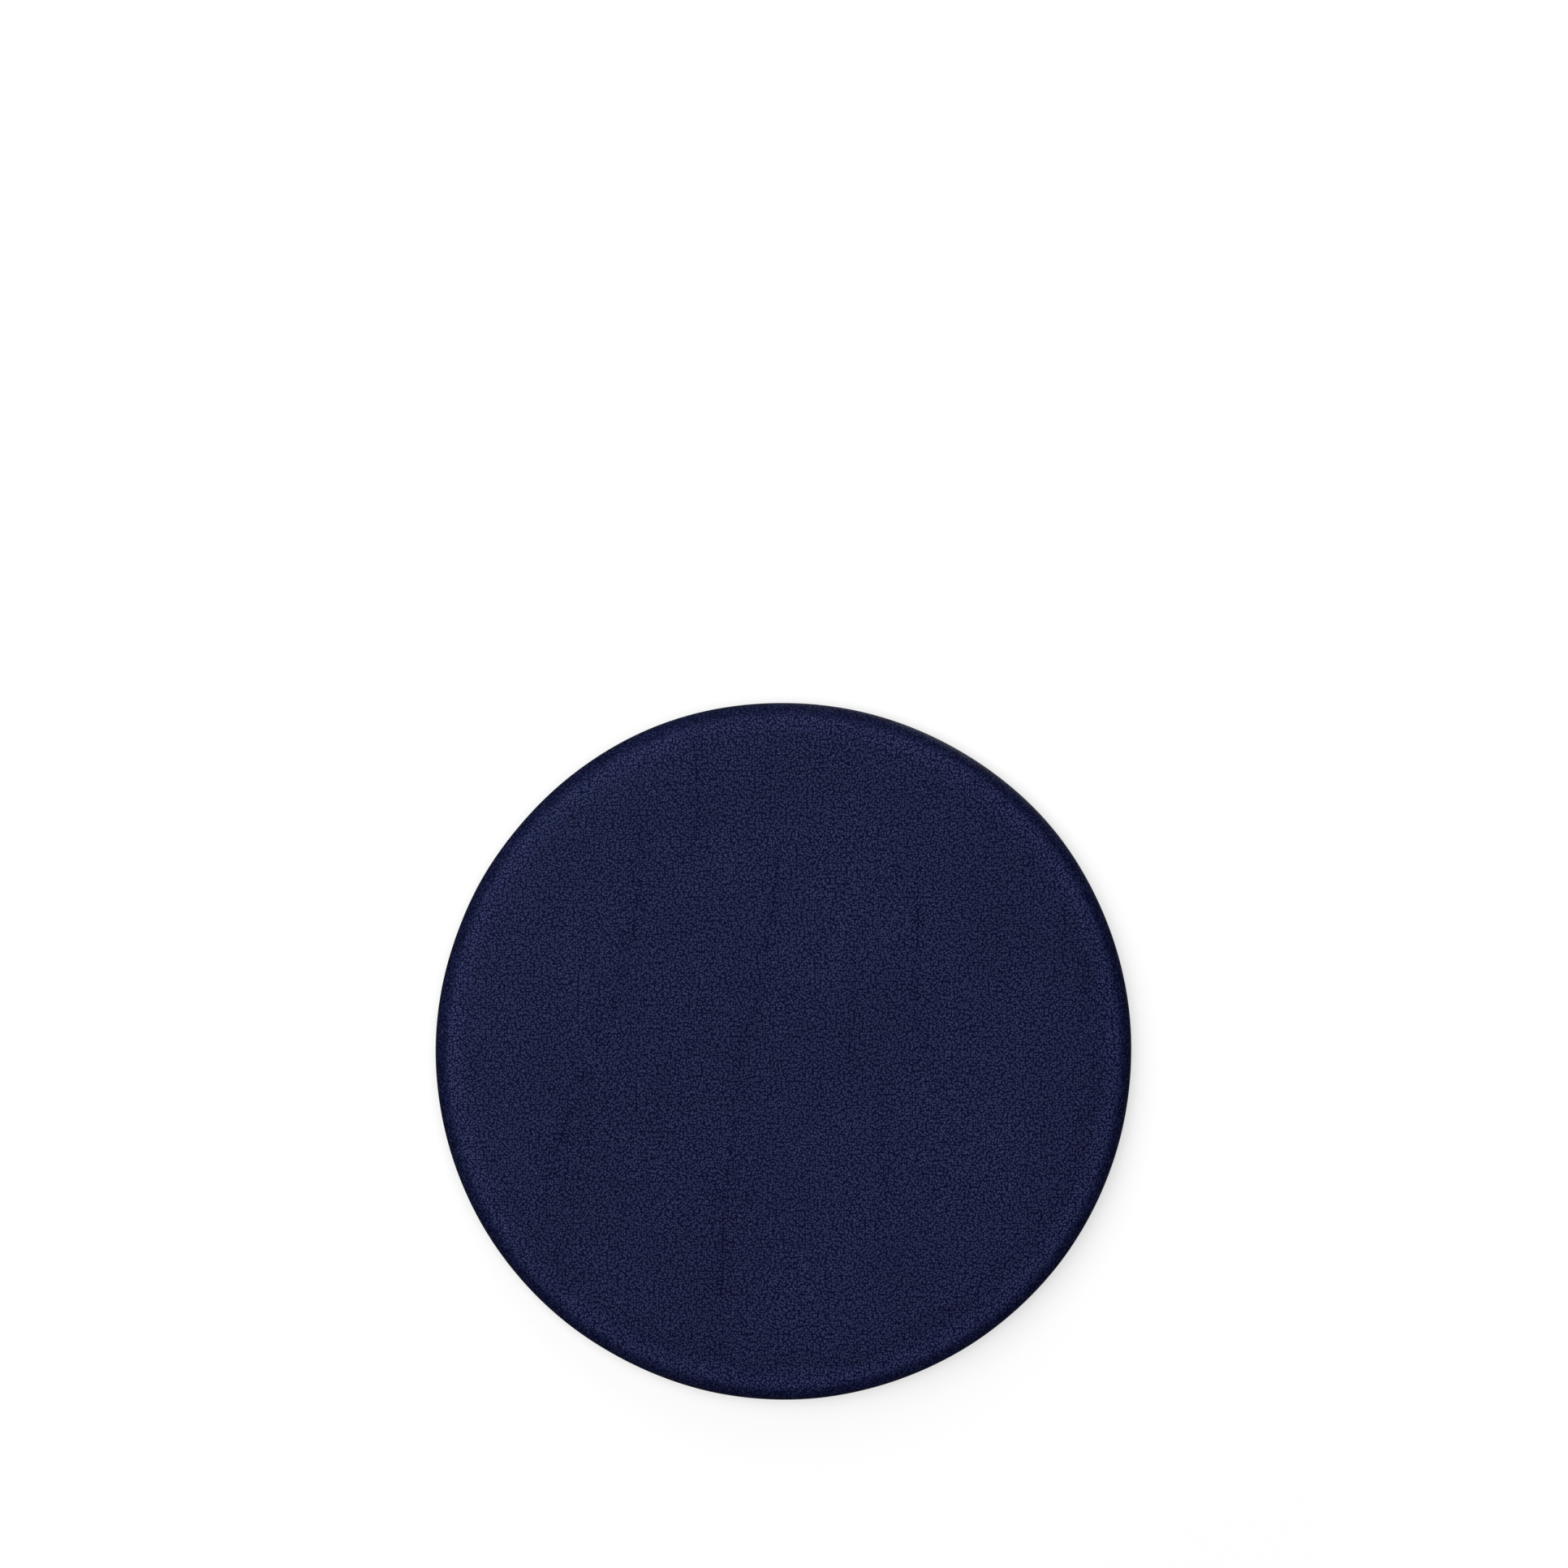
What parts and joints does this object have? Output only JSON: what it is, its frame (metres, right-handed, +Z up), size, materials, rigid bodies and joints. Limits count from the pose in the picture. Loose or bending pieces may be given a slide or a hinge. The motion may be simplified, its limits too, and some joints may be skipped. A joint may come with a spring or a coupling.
{
  "type": "seat cushion",
  "caption": "Thin round leather seat pad with a softly rounded rim, a zipped anti-slip underside and a removable foam insert.",
  "frame": {"origin": "centre of the underside, on the surface that the pad lies on", "axes": "+Z up through the pad's thickness; +Y to the rear, where the zip crosses the underside; +X to the end at which the zip closes"},
  "size_m": [0.35, 0.35, 0.022],
  "materials": {
    "navy_leather": "satin",
    "base_fabric": "matte",
    "navy_thread": "satin",
    "grip_rubber": "matte",
    "casing_fabric": "matte",
    "wadding": "matte",
    "foam": "matte",
    "zip_tape": "matte",
    "zip_nylon": "satin",
    "zip_metal": "satin",
    "label_fabric": "satin",
    "label_thread": "matte"
  },
  "bodies": {
    "pad": {"top_cover": "navy_leather", "base_panel_front": "base_fabric", "base_panel_rear": "base_fabric", "hem_stitches": "navy_thread", "grip_layer_front": "grip_rubber", "grip_layer_rear": "grip_rubber", "insert_casing": "casing_fabric", "topper_wadding": "wadding", "foam_core": "foam", "zip_tape_front": "zip_tape", "zip_tape_rear": "zip_tape", "zip_coil_front": "zip_nylon", "zip_coil_rear": "zip_nylon", "zip_top_stops": "zip_metal", "zip_bottom_stop": "zip_metal", "zip_stitches_front": "navy_thread", "zip_stitches_rear": "navy_thread", "zip_end_bartacks": "navy_thread", "care_label": "label_fabric", "care_label_stitches": "label_thread"},
    "slider": {"zip_slider": "zip_metal"},
    "pull": {"zip_pull": "zip_metal"}
  },
  "joints": [
    {"name": "zip_slide", "type": "slide", "parent": "pad", "child": "slider", "axis": [-1, 0, 0], "range_m": [0, 0.249], "deforming": ["zip_coil_front", "zip_coil_rear", "zip_tape_front", "zip_tape_rear"]},
    {"name": "pull_swing", "type": "hinge", "parent": "slider", "child": "pull", "pos_m": [0.128, 0.055, 0.00165], "axis": [0, -1, 0], "range_deg": [0, 160]}
  ]
}
